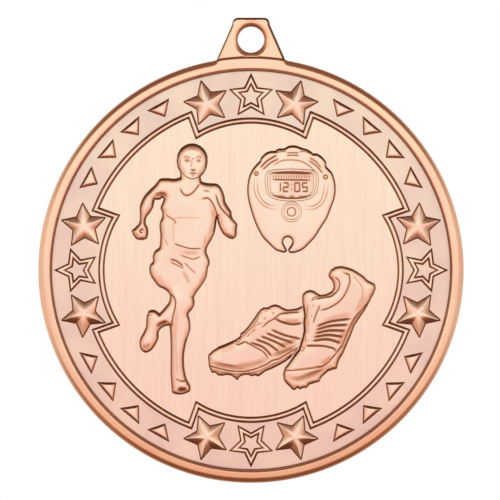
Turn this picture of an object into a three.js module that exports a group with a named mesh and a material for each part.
// Sports finisher medal: a struck disc with a raised rim, a ribbon lug and a relief of a runner,
// a stopwatch and a pair of running shoes inside a border of stars and triangles.
// Millimetres. +Z points up towards the lug, the face looks along -Y, and the origin is the
// centre of the ribbon hole.
//
// The face is drawn in its own plane, as x right, y up and z towards the viewer, about the disc's
// centre. A group then stands it upright.

import * as THREE from 'three';

// ---- driving dimensions --------------------------------------------------

const DISC_DIAMETER = 50;
const RIM_WIDTH = 1.56;
const FACE_SEGMENTS = 96;

const LUG_THICKNESS = 2.0;
const RIM_FRONT = 1.6;
const RIM_BACK = -1.2;
const FIELD = 0.7;
const DISC_BACK = RIM_BACK;

const SEAT_GAP = 0.02;
const SEAT = FIELD + SEAT_GAP;

const HOLE_HEIGHT = 27.1;
const HOLE_RADIUS = 1.55;
const LUG_TOP = 29.65;
const LUG_FOOT_HALF = 4.2;
const LUG_HEAD_HALF = 2.2;
const LUG_CORNER = 0.8;

const BORDER_RADIUS = 19.6;
const BORDER_START = 21.4;
const BORDER_WIDTH = 0.5;
const BORDER_HEIGHT = 0.32;
const BORDER_CORNER = [6.6, 15.7];
const NICHE_CENTRE = 5.0;

const SOLID_STAR = { polar: 20.3, tip: 2.74, notch: 1.38, wall: 0.2, peak: 0.72, swing: 14.8 };
const OUTLINE_STAR = { polar: 20.4, tip: 2.55, notch: 1.28, innerTip: 1.72, innerNotch: 0.8 };
const OUTLINE_STAR_HEIGHT = 0.32;

const TRIANGLE = { base: 2.67, baseRadius: 22.25, apexRadius: 20.73, wall: 0.22, top: 0.36 };
const TRIANGLE_BEVEL = 0.62;
const TRIANGLE_ANGLES = [29.3, 39.8, 50.2, 60.7];

const RUNNER_HEIGHT = 0.72;
const HEAD = { x: -6.9, y: 12.75, halfWidth: 1.75, halfHeight: 2.1, neckLeft: 217, neckRight: -55 };

const CASE_HEIGHT = 0.45;
const DISPLAY_HEIGHT = 0.14;
const SHOE_HEIGHT = 0.72;
const SOLE_HEIGHT = 0.6;

const RADIANS = Math.PI / 180;

// ---- outlines, about the disc's centre -----------------------------------

const RUNNER_BODY = [
  [-8.3, 10.9], [-8.9, 10.75], [-10.0, 10.8], [-10.7, 10.7], [-11.1, 10.2], [-11.8, 9.45],
  [-12.45, 8.7], [-12.75, 8.1], [-13.0, 7.3], [-13.0, 6.4], [-13.1, 5.6], [-13.6, 5.0],
  [-14.0, 4.65], [-13.8, 4.15], [-13.3, 3.6], [-12.85, 3.5], [-12.35, 3.65], [-12.1, 4.3],
  [-12.15, 5.0], [-12.35, 5.4], [-12.3, 6.2], [-11.85, 6.85], [-11.5, 7.5], [-11.4, 8.0],
  [-11.3, 8.35], [-10.7, 8.35], [-10.45, 8.6], [-10.2, 8.4], [-10.5, 7.6], [-10.6, 7.35],
  [-10.4, 6.85], [-10.4, 6.3], [-10.65, 5.7], [-10.7, 5.0], [-10.6, 4.2], [-10.65, 3.3],
  [-10.7, 2.8], [-11.3, 2.2], [-11.5, 1.6], [-11.5, 1.05], [-11.8, 0.65], [-11.9, 0.0],
  [-11.7, -0.7], [-11.3, -1.3], [-10.8, -1.9], [-10.15, -2.2], [-9.6, -2.7], [-9.6, -3.7],
  [-9.95, -4.2], [-10.75, -5.1], [-11.1, -4.8], [-11.55, -4.65], [-12.0, -4.8], [-12.2, -5.3],
  [-12.25, -5.9], [-12.3, -6.6], [-12.6, -7.3], [-13.0, -8.1], [-13.05, -8.7], [-12.85, -9.35],
  [-12.4, -9.65], [-11.85, -9.45], [-11.25, -8.7], [-10.9, -8.0], [-10.8, -7.1], [-10.25, -6.6],
  [-9.55, -6.45], [-9.45, -7.5], [-9.4, -9.1], [-9.4, -10.7], [-9.4, -12.3], [-9.3, -13.6],
  [-9.25, -14.35], [-8.9, -14.5], [-7.7, -14.45], [-7.2, -14.15], [-7.15, -13.6], [-7.35, -13.2],
  [-7.6, -12.65], [-7.8, -11.8], [-7.9, -10.7], [-7.85, -9.65], [-7.65, -8.6], [-7.4, -7.75],
  [-7.1, -6.9], [-7.15, -5.9], [-7.35, -5.1], [-6.95, -4.55], [-6.65, -3.9], [-6.7, -3.15],
  [-6.5, -2.7], [-6.1, -2.2], [-5.55, -1.45], [-5.15, -0.6], [-4.95, 0.45], [-4.85, 0.75],
  [-5.0, 1.5], [-5.25, 2.1], [-5.2, 2.6], [-5.0, 3.05], [-4.65, 3.65], [-4.3, 4.4],
  [-4.1, 5.4], [-4.0, 6.2], [-3.8, 5.4], [-3.45, 4.6], [-3.05, 4.05], [-2.55, 3.7],
  [-2.1, 3.65], [-1.75, 4.05], [-1.7, 4.8], [-1.65, 5.5], [-1.8, 5.7], [-2.3, 6.35],
  [-2.35, 6.85], [-2.75, 7.45], [-3.05, 8.0], [-3.15, 8.7], [-3.35, 9.3], [-3.65, 9.85],
  [-3.95, 10.1], [-4.9, 10.2], [-5.5, 10.3], [-5.85, 10.45],
];

// The case's outline runs from the right lip of the slit at its foot, round the case, to the left lip.
const CASE_OUTLINE = [
  [4.42, 2.3], [4.55, 2.1], [4.8, 2.05], [5.35, 2.15], [6.1, 2.5], [6.75, 3.1], [7.4, 3.8], [8.15, 4.95],
  [8.9, 6.15], [9.35, 7.3], [9.75, 8.4], [9.9, 9.4], [9.85, 10.2], [9.7, 10.9], [9.45, 11.5],
  [9.1, 11.9], [8.8, 12.25], [8.8, 12.6], [8.6, 13.0], [8.15, 13.45], [7.7, 13.7], [7.3, 13.7],
  [7.0, 13.95], [6.55, 14.2], [6.0, 14.35], [5.5, 14.55], [4.9, 14.65], [4.35, 14.55], [3.9, 14.3],
  [3.2, 14.25], [2.8, 14.0], [2.5, 14.0], [1.9, 13.85], [1.5, 13.55], [1.2, 13.2], [1.05, 12.85],
  [0.67, 12.45], [0.3, 12.0], [-0.2, 11.0], [-0.35, 10.2], [-0.4, 9.2], [-0.25, 8.1], [0.05, 7.0],
  [0.4, 5.9], [0.85, 4.85], [1.4, 3.9], [2.0, 3.25], [2.55, 2.7], [3.0, 2.35], [3.5, 2.2],
  [4.0, 2.12], [4.2, 2.3],
];
// The drop-shaped cord eye opens into the slit between these two angles, measured round its centre.
const CORD_EYE = { x: 4.31, y: 3.35, radius: 0.57, slitLeft: 218, slitRight: 322 };

const DISPLAY_FRAME = [
  [1.6, 11.1], [1.6, 9.7], [1.75, 9.1], [2.15, 8.6], [2.8, 8.3], [3.7, 8.15], [4.75, 8.1], [5.9, 8.15],
  [6.8, 8.3], [7.4, 8.6], [7.8, 9.1], [7.95, 9.7], [7.95, 11.1], [7.75, 11.55], [7.3, 11.75],
  [6.1, 11.85], [4.75, 11.9], [3.4, 11.85], [2.25, 11.75], [1.8, 11.55],
];
const DISPLAY_CENTRE = [4.75, 10.0];
const DISPLAY_OPENING = 0.84;
const LAP_RING = { x: 4.75, y: 6.85, outer: 1.25, inner: 0.85 };

const SHOE_DIVIDE = [[6.0, -4.2], [6.17, -5.3], [6.07, -6.1], [6.12, -7.1], [5.97, -7.9], [5.72, -8.7]];

const LEFT_UPPER_TOP = [
  [-4.95, -11.1], [-5.0, -10.3], [-4.95, -9.9], [-4.75, -9.75], [-4.45, -9.45], [-3.85, -9.1],
  [-3.05, -8.8], [-2.25, -8.45], [-1.6, -8.0], [-1.25, -7.8], [-1.2, -7.45], [-0.85, -7.2],
  [-0.35, -6.65], [0.1, -6.05], [0.4, -5.65], [0.75, -5.1], [1.15, -4.6], [1.5, -4.4], [2.0, -4.4],
  [2.4, -4.15], [2.8, -4.05], [3.25, -4.15], [3.75, -4.45], [4.3, -4.65], [4.85, -4.6],
  [5.45, -4.5], [5.85, -4.3],
];
const LEFT_MIDSOLE = [
  [5.55, -9.0], [4.85, -9.35], [4.05, -9.8], [3.25, -10.3], [2.45, -10.5], [1.7, -11.0],
  [0.6, -11.45], [-0.35, -11.7], [-1.05, -11.8], [-2.65, -11.7], [-3.85, -11.4],
];
const LEFT_TREAD = [
  [-4.95, -11.15], [-4.8, -11.6], [-4.6, -12.0], [-4.2, -12.05], [-3.85, -12.35], [-3.35, -12.4],
  [-2.8, -12.35], [-2.4, -12.4], [-1.95, -12.65], [-1.6, -12.9], [-1.3, -12.55], [-0.85, -12.35],
  [-0.3, -12.35], [0.0, -12.45], [0.5, -12.35], [0.9, -12.45], [1.35, -12.1], [1.7, -11.85],
  [2.45, -11.55], [3.25, -11.15], [4.05, -10.7], [4.75, -10.15], [5.2, -9.65], [5.45, -9.3],
];

const RIGHT_UPPER_TOP = [
  [4.0, -11.5], [4.5, -10.85], [5.0, -10.15], [5.6, -9.35], [5.85, -8.7], [6.1, -7.9], [6.25, -7.1],
  [6.2, -6.1], [6.3, -5.3], [6.1, -3.95], [6.05, -3.35], [6.1, -2.85], [6.45, -2.5],
  [6.95, -2.35], [7.45, -2.5], [7.85, -2.8], [8.25, -2.95], [8.85, -2.85], [9.5, -2.5],
  [9.75, -2.05], [9.7, -1.55], [9.5, -1.15], [9.2, -0.8], [9.15, -0.5], [9.4, 0.0], [9.9, 0.35],
  [10.6, 0.45], [11.3, 0.3], [12.0, 0.05], [12.5, -0.25], [13.15, -0.7], [13.65, -1.2],
  [14.15, -1.45], [14.5, -1.65], [14.6, -2.15], [14.35, -2.75],
];
const RIGHT_MIDSOLE = [
  [14.1, -3.2], [12.9, -4.6], [12.0, -5.8], [11.3, -7.2], [10.6, -8.9], [9.9, -9.7], [9.1, -10.7], [8.4, -11.2],
  [7.5, -11.35], [6.4, -11.5], [4.9, -11.65],
  [3.95, -11.65],
];
const RIGHT_TREAD = [
  [3.8, -12.15], [3.9, -12.9], [4.2, -13.3], [4.5, -13.6], [4.9, -14.0], [5.15, -14.05],
  [5.45, -13.85], [5.75, -14.05], [6.15, -13.85], [6.55, -13.8], [6.85, -13.4], [7.45, -13.25],
  [8.05, -13.1], [8.25, -12.6], [8.65, -12.2], [9.05, -11.85], [9.6, -11.65], [10.05, -11.55],
  [10.15, -10.95], [10.4, -10.35], [10.8, -9.75], [11.2, -8.75], [11.7, -7.6], [12.1, -6.5],
  [12.7, -5.6], [13.35, -4.65], [13.85, -3.75],
];

// ---- materials -----------------------------------------------------------

const BRONZE = { field: 0xebc6b3, band: 0xe0bfb2, raised: 0xf2cfb6, rim: 0xfccfab, deep: 0xc99a82 };

function bronze(color, roughness) {
  return new THREE.MeshStandardMaterial({ color, roughness, metalness: 1 });
}

// ---- shape helpers -------------------------------------------------------

const medal = new THREE.Group();
const face = new THREE.Group();
face.rotation.x = Math.PI / 2;
face.position.z = -HOLE_HEIGHT;
medal.add(face);

function addPiece(name, geometry, color, roughness = 0.4) {
  const piece = new THREE.Mesh(geometry, bronze(color, roughness));
  piece.name = name;
  face.add(piece);
  return piece;
}

function polar(radius, degrees) {
  return [radius * Math.cos(degrees * RADIANS), radius * Math.sin(degrees * RADIANS)];
}

function shapeOf(points) {
  return new THREE.Shape(points.map(([x, y]) => new THREE.Vector2(x, y)));
}

function raise(shape, base, height) {
  const geometry = new THREE.ExtrudeGeometry(shape, { depth: height, bevelEnabled: false });
  geometry.translate(0, 0, base);
  return geometry;
}

function starPoints(tip, notch) {
  const points = [];
  for (let corner = 0; corner < 10; corner += 1) {
    points.push(polar(corner % 2 === 0 ? tip : notch, corner * 36));
  }
  return points;
}

// A closed solid through rings of equal length, lowest first, each counter-clockwise.
function stackRings(rings, top) {
  const count = rings[0].length;
  const positions = rings.flat(2);
  const floor = rings[0].reduce(([x, y], point) => [x + point[0] / count, y + point[1] / count], [0, 0]);
  positions.push(...floor, rings[0][0][2], ...floor, top);
  const floorIndex = rings.length * count;
  const index = [];
  for (let side = 0; side < count; side += 1) {
    const next = (side + 1) % count;
    index.push(floorIndex, next, side);
    for (let level = 0; level < rings.length - 1; level += 1) {
      const low = level * count;
      const high = low + count;
      index.push(low + side, low + next, high + next, low + side, high + next, high + side);
    }
    const last = (rings.length - 1) * count;
    index.push(last + side, last + next, floorIndex + 1);
  }
  const geometry = new THREE.BufferGeometry();
  geometry.setAttribute('position', new THREE.Float32BufferAttribute(positions, 3));
  geometry.setIndex(index);
  geometry.computeVertexNormals();
  return geometry;
}

function ringAt(points, height, scale = 1) {
  return points.map(([x, y]) => [x * scale, y * scale, height]);
}

// The loop moved sideways by a distance, positive to the left of its direction, with mitred corners.
function offsetLoop(points, distance) {
  return points.map((point, place) => {
    const before = points[(place + points.length - 1) % points.length];
    const after = points[(place + 1) % points.length];
    const arriving = new THREE.Vector2(point[0] - before[0], point[1] - before[1]).normalize();
    const leaving = new THREE.Vector2(after[0] - point[0], after[1] - point[1]).normalize();
    const along = arriving.clone().add(leaving).normalize();
    const reach = distance / along.dot(leaving);
    return [point[0] - along.y * reach, point[1] + along.x * reach];
  });
}

// ---- disc, rim and lug ---------------------------------------------------

function discGeometry() {
  const radius = DISC_DIAMETER / 2 - RIM_WIDTH - SEAT_GAP;
  const geometry = new THREE.CylinderGeometry(radius, radius, FIELD - DISC_BACK, FACE_SEGMENTS);
  geometry.rotateX(Math.PI / 2);
  geometry.translate(0, 0, (FIELD + DISC_BACK) / 2);
  return geometry;
}

function rimGeometry() {
  const outer = DISC_DIAMETER / 2;
  const inner = outer - RIM_WIDTH;
  const profile = [
    [inner, RIM_BACK], [outer - 0.35, RIM_BACK], [outer, RIM_BACK + 0.35], [outer, RIM_FRONT - 0.65],
    [outer - 0.15, RIM_FRONT - 0.25], [outer - 0.6, RIM_FRONT - 0.03], [outer - 1.0, RIM_FRONT],
    [outer - 1.35, RIM_FRONT - 0.15], [inner, RIM_FRONT - 0.4], [inner, RIM_BACK],
  ];
  const points = profile.map(([radius, height]) => new THREE.Vector2(radius, height));
  const geometry = new THREE.LatheGeometry(points, FACE_SEGMENTS);
  geometry.rotateX(Math.PI / 2);
  return geometry;
}

function lugGeometry() {
  const foot = DISC_DIAMETER / 2 + SEAT_GAP;
  const footAngle = Math.acos(LUG_FOOT_HALF / foot);
  const outline = new THREE.Shape();
  outline.absarc(0, 0, foot, footAngle, Math.PI - footAngle, false);
  outline.lineTo(-LUG_HEAD_HALF, LUG_TOP - LUG_CORNER);
  outline.quadraticCurveTo(-LUG_HEAD_HALF, LUG_TOP, LUG_CORNER - LUG_HEAD_HALF, LUG_TOP);
  outline.lineTo(LUG_HEAD_HALF - LUG_CORNER, LUG_TOP);
  outline.quadraticCurveTo(LUG_HEAD_HALF, LUG_TOP, LUG_HEAD_HALF, LUG_TOP - LUG_CORNER);
  const hole = new THREE.Path();
  hole.absarc(0, HOLE_HEIGHT, HOLE_RADIUS, 0, 2 * Math.PI, false);
  outline.holes.push(hole);
  const options = { depth: LUG_THICKNESS, bevelEnabled: false, curveSegments: 12 };
  const geometry = new THREE.ExtrudeGeometry(outline, options);
  geometry.translate(0, 0, -LUG_THICKNESS / 2);
  return geometry;
}

// ---- border, stars and triangles -----------------------------------------

// One raised line round the face: four long arcs, joined by shallow niches at top, bottom and sides.
function borderLine() {
  const line = [];
  const [cornerX, cornerY] = BORDER_CORNER;
  const nicheRadius = Math.hypot(cornerX, cornerY - NICHE_CENTRE);
  const nicheHalf = Math.asin(cornerX / nicheRadius) / RADIANS;
  for (let quarter = 0; quarter < 4; quarter += 1) {
    const turn = quarter * 90;
    for (let step = 0; step <= 14; step += 1) {
      const angle = BORDER_START + (90 - 2 * BORDER_START) * (step / 14);
      line.push(polar(BORDER_RADIUS, turn + angle));
    }
    const spin = turn * RADIANS;
    for (let step = 0; step <= 10; step += 1) {
      const [x, y] = polar(nicheRadius, 90 - nicheHalf + 2 * nicheHalf * (step / 10));
      const height = y + NICHE_CENTRE;
      line.push([x * Math.cos(spin) - height * Math.sin(spin), x * Math.sin(spin) + height * Math.cos(spin)]);
    }
  }
  return line;
}

function ringShape(outerPoints, innerPoints) {
  const shape = shapeOf(outerPoints);
  shape.holes.push(shapeOf(innerPoints));
  return shape;
}

function borderGeometry() {
  const line = borderLine();
  const outer = offsetLoop(line, -BORDER_WIDTH / 2);
  const inner = offsetLoop(line, BORDER_WIDTH / 2);
  return raise(ringShape(outer, inner), SEAT, BORDER_HEIGHT);
}

function placeAtPolar(piece, radius, degrees) {
  const [x, y] = polar(radius, degrees);
  piece.position.set(x, y, SEAT);
  piece.rotation.z = degrees * RADIANS;
}

function solidStarGeometry() {
  const outline = starPoints(SOLID_STAR.tip, SOLID_STAR.notch);
  return stackRings([ringAt(outline, 0), ringAt(outline, SOLID_STAR.wall, 0.97)], SOLID_STAR.peak);
}

function outlineStarGeometry() {
  const outer = starPoints(OUTLINE_STAR.tip, OUTLINE_STAR.notch);
  const inner = starPoints(OUTLINE_STAR.innerTip, OUTLINE_STAR.innerNotch);
  return raise(ringShape(outer, inner), 0, OUTLINE_STAR_HEIGHT);
}

// The triangle stands on its centroid, with its base outwards along +x.
function triangleGeometry() {
  const depth = TRIANGLE.baseRadius - TRIANGLE.apexRadius;
  const half = TRIANGLE.base / 2;
  const outline = [[depth / 3, -half], [depth / 3, half], [-2 * depth / 3, 0]];
  const top = ringAt(outline, TRIANGLE.top, TRIANGLE_BEVEL);
  return stackRings([ringAt(outline, 0), ringAt(outline, TRIANGLE.wall), top], TRIANGLE.top);
}

function addStars() {
  const solid = solidStarGeometry();
  const outlined = outlineStarGeometry();
  for (let quarter = 0; quarter < 4; quarter += 1) {
    const axis = 90 - quarter * 90;
    const open = addPiece(`outline_star_${quarter + 1}`, outlined, BRONZE.raised);
    placeAtPolar(open, OUTLINE_STAR.polar, axis);
    for (const side of [0, 1]) {
      const angle = axis + (side === 0 ? SOLID_STAR.swing : -SOLID_STAR.swing);
      const star = addPiece(`solid_star_${quarter * 2 + side + 1}`, solid, BRONZE.raised);
      placeAtPolar(star, SOLID_STAR.polar, angle);
    }
  }
}

function addTriangles() {
  const geometry = triangleGeometry();
  const centroid = (2 * TRIANGLE.baseRadius + TRIANGLE.apexRadius) / 3;
  for (let quarter = 0; quarter < 4; quarter += 1) {
    TRIANGLE_ANGLES.forEach((angle, place) => {
      const number = String(quarter * 4 + place + 1).padStart(2, '0');
      placeAtPolar(addPiece(`triangle_${number}`, geometry, BRONZE.raised), centroid, quarter * 90 + angle);
    });
  }
}

// ---- runner, stopwatch and shoes -----------------------------------------

// The figure's outline: the head's ellipse over the top, then down one side and up the other.
function runnerGeometry() {
  const head = new THREE.EllipseCurve(
    HEAD.x, HEAD.y, HEAD.halfWidth, HEAD.halfHeight,
    HEAD.neckRight * RADIANS, HEAD.neckLeft * RADIANS, false,
  );
  const crown = head.getPoints(22).map((point) => [point.x, point.y]);
  return raise(shapeOf([...crown, ...RUNNER_BODY]), SEAT, RUNNER_HEIGHT);
}

// The outline turns into the slit at its foot, goes round the eye clockwise and comes out again.
function caseGeometry() {
  const shape = shapeOf(CASE_OUTLINE);
  const { x, y, radius, slitLeft, slitRight } = CORD_EYE;
  shape.absarc(x, y, radius, slitLeft * RADIANS, slitRight * RADIANS - 2 * Math.PI, true);
  const points = shape.extractPoints(8).shape;
  return raise(new THREE.Shape(points), SEAT, CASE_HEIGHT);
}

function displayOpening(scale) {
  const [centreX, centreY] = DISPLAY_CENTRE;
  return DISPLAY_FRAME.map(([x, y]) => [centreX + (x - centreX) * scale, centreY + (y - centreY) * scale]);
}

function lapRingGeometry() {
  const shape = new THREE.Shape();
  shape.absarc(LAP_RING.x, LAP_RING.y, LAP_RING.outer, 0, 2 * Math.PI, false);
  const hole = new THREE.Path();
  hole.absarc(LAP_RING.x, LAP_RING.y, LAP_RING.inner, 0, 2 * Math.PI, false);
  shape.holes.push(hole);
  return raise(shape, SEAT + CASE_HEIGHT + SEAT_GAP, DISPLAY_HEIGHT);
}

function addStopwatch() {
  const caseTop = SEAT + CASE_HEIGHT + SEAT_GAP;
  addPiece('stopwatch_case', caseGeometry(), BRONZE.raised);
  const frame = ringShape(DISPLAY_FRAME, displayOpening(DISPLAY_OPENING));
  addPiece('stopwatch_display_frame', raise(frame, caseTop, DISPLAY_HEIGHT), BRONZE.raised);
  const panel = shapeOf(displayOpening(DISPLAY_OPENING - 0.03));
  addPiece('stopwatch_display', raise(panel, caseTop, DISPLAY_HEIGHT / 2), BRONZE.deep);
  addPiece('stopwatch_lap_ring', lapRingGeometry(), BRONZE.raised);
}

function lowered(points, drop) {
  return points.map(([x, y]) => [x, y - drop]);
}

function addShoes() {
  const leftUpper = [...LEFT_UPPER_TOP, ...SHOE_DIVIDE, ...LEFT_MIDSOLE];
  const leftSole = [...LEFT_TREAD, ...lowered(LEFT_MIDSOLE, 3 * SEAT_GAP)];
  const rightUpper = [...RIGHT_UPPER_TOP, ...RIGHT_MIDSOLE];
  const rightSole = [...RIGHT_TREAD, ...lowered(RIGHT_MIDSOLE, 3 * SEAT_GAP)];
  addPiece('left_shoe_upper', raise(shapeOf(leftUpper), SEAT, SHOE_HEIGHT), BRONZE.raised);
  addPiece('left_shoe_sole', raise(shapeOf(leftSole), SEAT, SOLE_HEIGHT), BRONZE.raised);
  addPiece('right_shoe_upper', raise(shapeOf(rightUpper), SEAT, SHOE_HEIGHT), BRONZE.raised);
  addPiece('right_shoe_sole', raise(shapeOf(rightSole), SEAT, SOLE_HEIGHT), BRONZE.raised);
}

// ---- assembly ------------------------------------------------------------

addPiece('medal_disc', discGeometry(), BRONZE.field, 0.35);
addPiece('outer_rim', rimGeometry(), BRONZE.rim, 0.25);
addPiece('ribbon_lug', lugGeometry(), BRONZE.rim, 0.3);
addPiece('border_moulding', borderGeometry(), BRONZE.raised);
addStars();
addTriangles();
addPiece('runner_figure', runnerGeometry(), BRONZE.raised);
addStopwatch();
addShoes();

export default medal;
